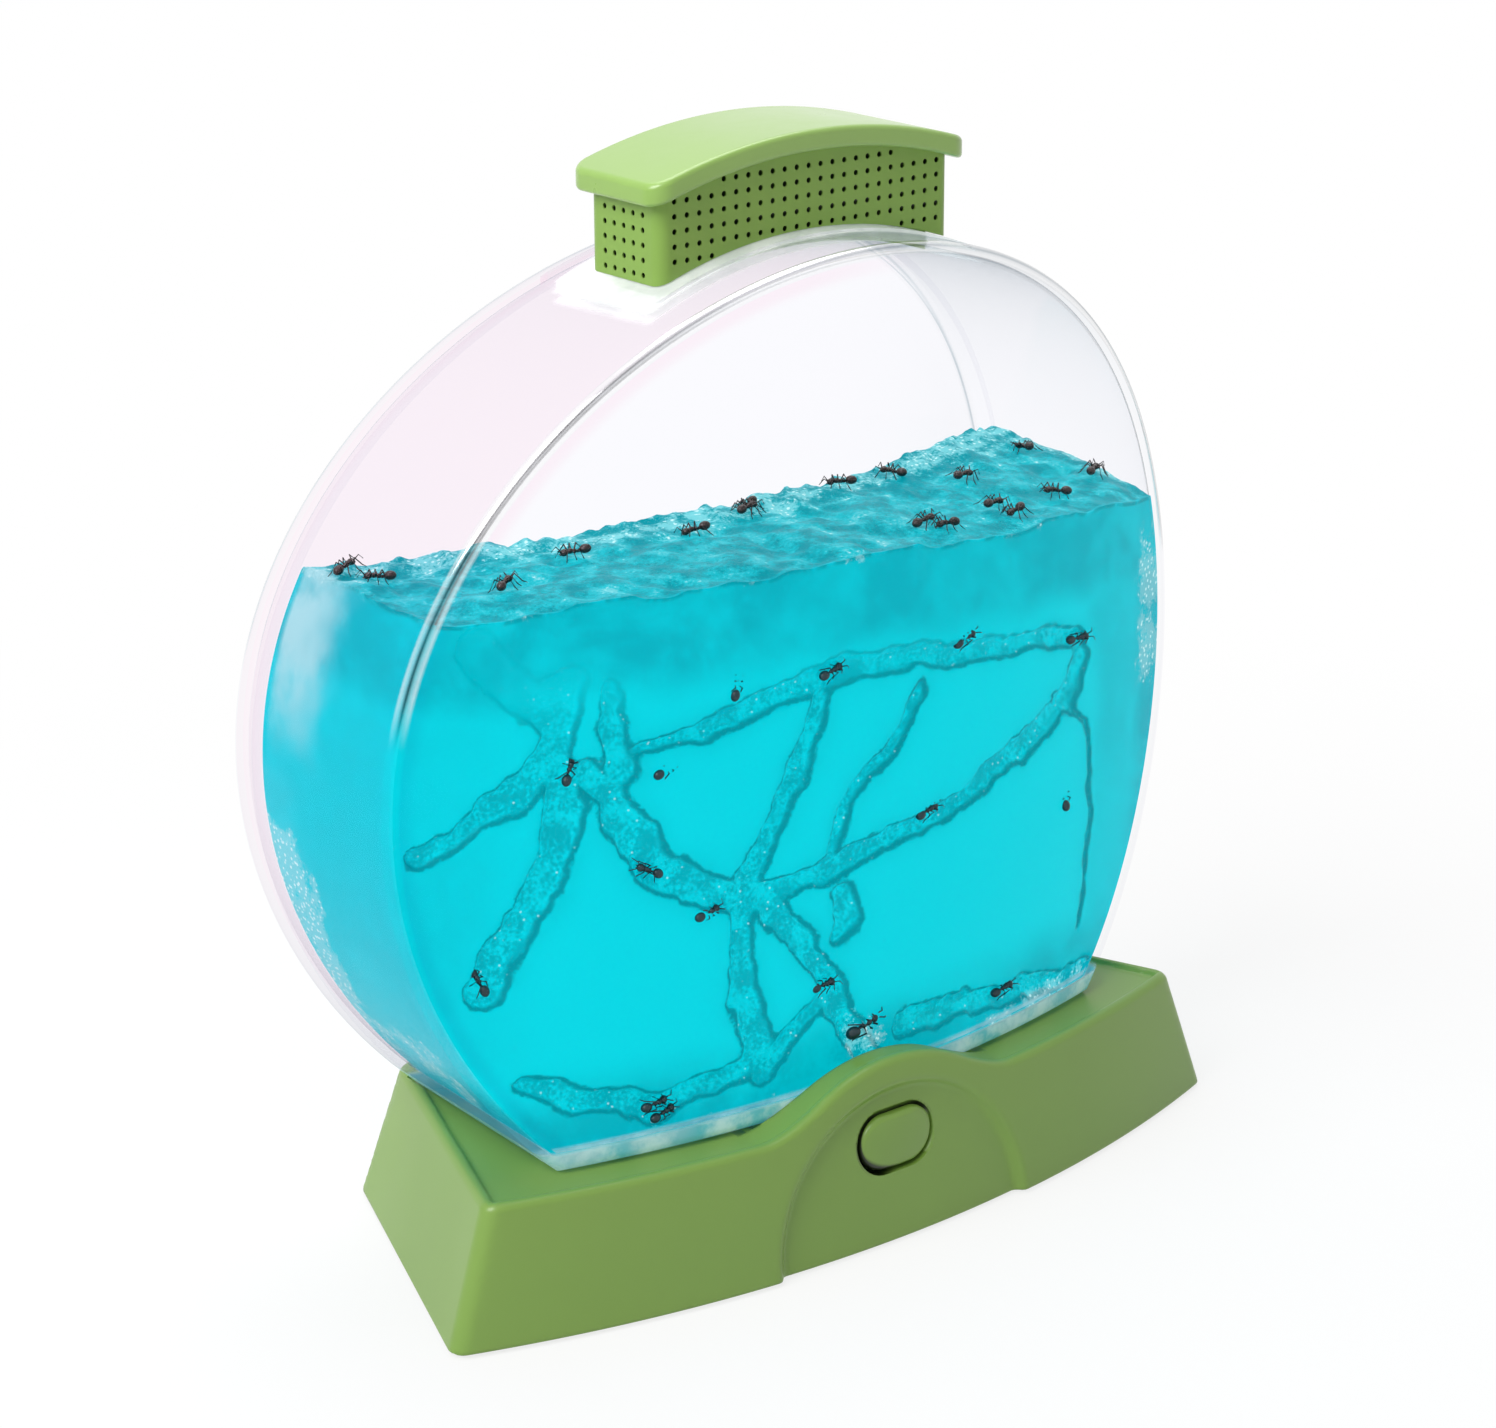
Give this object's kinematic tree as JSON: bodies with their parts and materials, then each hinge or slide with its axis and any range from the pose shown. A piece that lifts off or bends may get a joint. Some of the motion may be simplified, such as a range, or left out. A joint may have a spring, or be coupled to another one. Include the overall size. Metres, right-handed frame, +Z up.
{
  "type": "ant habitat",
  "caption": "Round, gently curved clear tank of ant gel that stands in a lit base, with a push button in an arch and a perforated vent under an arched cap.",
  "frame": {"origin": "on the surface that the rubber feet stand on, under the middle of the outer box", "axes": "+X to the right seen from the front, +Y from the button to the back, +Z up"},
  "size_m": [0.236, 0.1057, 0.2601],
  "materials": {
    "green_shell": "satin moulded",
    "green_under": "fine textured",
    "clear_plastic": "clear polished",
    "ant_gel": "clouded translucent",
    "cell_jacket": "plain jacket",
    "nickel": "nickel plated",
    "screw_steel": "zinc plated",
    "circuit_board": "solder mask",
    "led_resin": "clear resin",
    "black_plastic": "satin",
    "white_plastic": "satin",
    "red_insulation": "satin",
    "foot_rubber": "matt"
  },
  "bodies": {
    "base": {"base_housing": "green_shell", "base_plate": "green_under", "battery_cells": "cell_jacket", "battery_contacts": "nickel", "contact_springs": "nickel", "led_board": "circuit_board", "leds": "led_resin", "light_window": "clear_plastic", "switch_board": "circuit_board", "switch_body": "black_plastic", "base_screws": "screw_steel", "board_screws": "screw_steel", "switch_screws": "screw_steel", "rubber_feet": "foot_rubber", "lead_red": "red_insulation", "lead_black": "black_plastic", "lead_link": "white_plastic"},
    "tank": {"tank_front_shell": "clear_plastic", "tank_rear_cover": "clear_plastic", "gel_block": "ant_gel"},
    "lid": {"vent_box": "green_shell", "vent_cap": "green_shell"},
    "button": {"button_cap": "green_shell", "switch_plunger": "white_plastic"},
    "door": {"battery_door": "green_under"}
  },
  "joints": [
    {"name": "tank_lift", "type": "slide", "parent": "base", "child": "tank", "axis": [0, 0, 1], "range_m": [0, 0.06]},
    {"name": "lid_lift", "type": "slide", "parent": "tank", "child": "lid", "axis": [0, 0, 1], "range_m": [0, 0.05]},
    {"name": "button_press", "type": "slide", "parent": "base", "child": "button", "axis": [0, 1, 0], "range_m": [0, 0.0012], "stiffness_N_per_m": 1200, "springref_m": -0.0006},
    {"name": "battery_door", "type": "hinge", "parent": "base", "child": "door", "pos_m": [-0.02535, 0.013, 0.0014], "axis": [0, 1, 0], "range_deg": [0, 60]}
  ]
}
